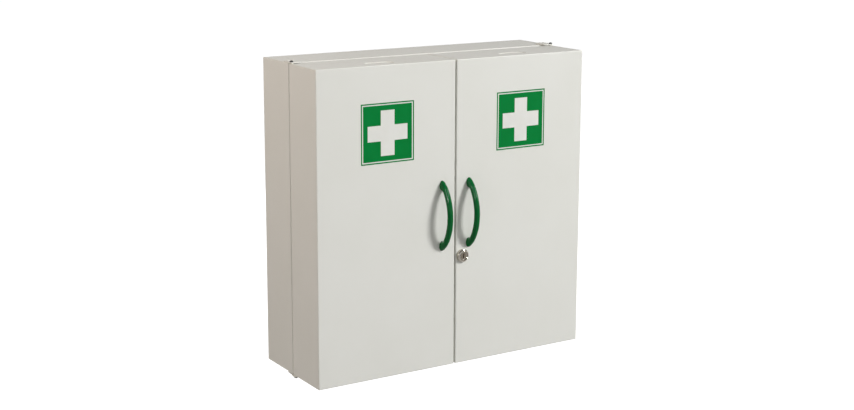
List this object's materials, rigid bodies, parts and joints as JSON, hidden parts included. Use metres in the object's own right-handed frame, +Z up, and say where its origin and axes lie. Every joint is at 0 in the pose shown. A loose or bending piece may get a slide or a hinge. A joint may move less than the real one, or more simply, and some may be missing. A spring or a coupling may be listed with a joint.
{
  "type": "lockable medicine cabinet",
  "caption": "Wall-hung steel medicine cabinet with deep box-shaped double doors on pin hinges, green bow handles, a cam lock, inner shelves and magnetic catches.",
  "frame": {"origin": "centre of the four wall-fixing holes, in the plane of the back face", "axes": "+Y into the wall along the fixing holes, -Y out of the door faces, +X to the right as seen from the front, +Z up"},
  "size_m": [0.53, 0.221, 0.541],
  "materials": {
    "case_paint": "light grey powder coat, fine texture, semi-gloss",
    "door_paint": "light grey-white powder coat, fine texture, semi-gloss",
    "hinge_paint": "powder coat over stamped steel",
    "pin_steel": "blackened steel",
    "zinc_steel": "zinc plated",
    "lock_nickel": "bright nickel plate",
    "plug_brass": "nickel plated brass, worn round the keyway",
    "handle_green": "glossy moulded green plastic",
    "bush_nylon": "natural nylon",
    "catch_plastic": "white moulded plastic",
    "magnet_steel": "ground pole plates",
    "buffer_rubber": "soft rubber"
  },
  "bodies": {
    "case": {"case_shell": "case_paint", "back_panel": "case_paint", "upper_case_shelf": "case_paint", "lower_case_shelf": "case_paint", "upper_left_hinge_plate": "hinge_paint", "upper_right_hinge_plate": "hinge_paint", "lower_left_hinge_plate": "hinge_paint", "lower_right_hinge_plate": "hinge_paint", "upper_left_hinge_pin": "pin_steel", "upper_right_hinge_pin": "pin_steel", "lower_left_hinge_pin": "pin_steel", "lower_right_hinge_pin": "pin_steel", "hinge_rivets": "hinge_paint", "upper_left_catch": "catch_plastic", "upper_right_catch": "catch_plastic", "lower_left_catch": "catch_plastic", "lower_right_catch": "catch_plastic", "catch_magnets": "magnet_steel", "door_buffers": "buffer_rubber"},
    "left_door": {"left_door_pan": "door_paint", "left_door_upper_shelf": "door_paint", "left_door_middle_shelf": "door_paint", "left_door_lower_shelf": "door_paint", "left_door_bottom_lip": "door_paint", "left_handle": "handle_green", "left_handle_screws": "zinc_steel", "left_upper_bush": "bush_nylon", "left_lower_bush": "bush_nylon"},
    "right_door": {"right_door_pan": "door_paint", "right_door_upper_shelf": "door_paint", "right_door_middle_shelf": "door_paint", "right_door_lower_shelf": "door_paint", "right_door_bottom_lip": "door_paint", "right_handle": "handle_green", "right_handle_screws": "zinc_steel", "right_upper_bush": "bush_nylon", "right_lower_bush": "bush_nylon", "lock_housing": "lock_nickel", "lock_nut": "zinc_steel"},
    "lock_barrel": {"lock_plug": "plug_brass", "lock_cam": "zinc_steel", "cam_screw": "zinc_steel"}
  },
  "joints": [
    {"name": "left_door_hinge", "type": "hinge", "parent": "case", "child": "left_door", "pos_m": [-0.2615, -0.1005, 0], "axis": [0, 0, -1], "range_deg": [0, 110]},
    {"name": "right_door_hinge", "type": "hinge", "parent": "case", "child": "right_door", "pos_m": [0.2615, -0.1005, 0], "axis": [0, 0, 1], "range_deg": [0, 110]},
    {"name": "lock_turn", "type": "hinge", "parent": "right_door", "child": "lock_barrel", "pos_m": [0.0135, -0.19, -0.074], "axis": [0, 1, 0], "range_deg": [0, 90]}
  ]
}
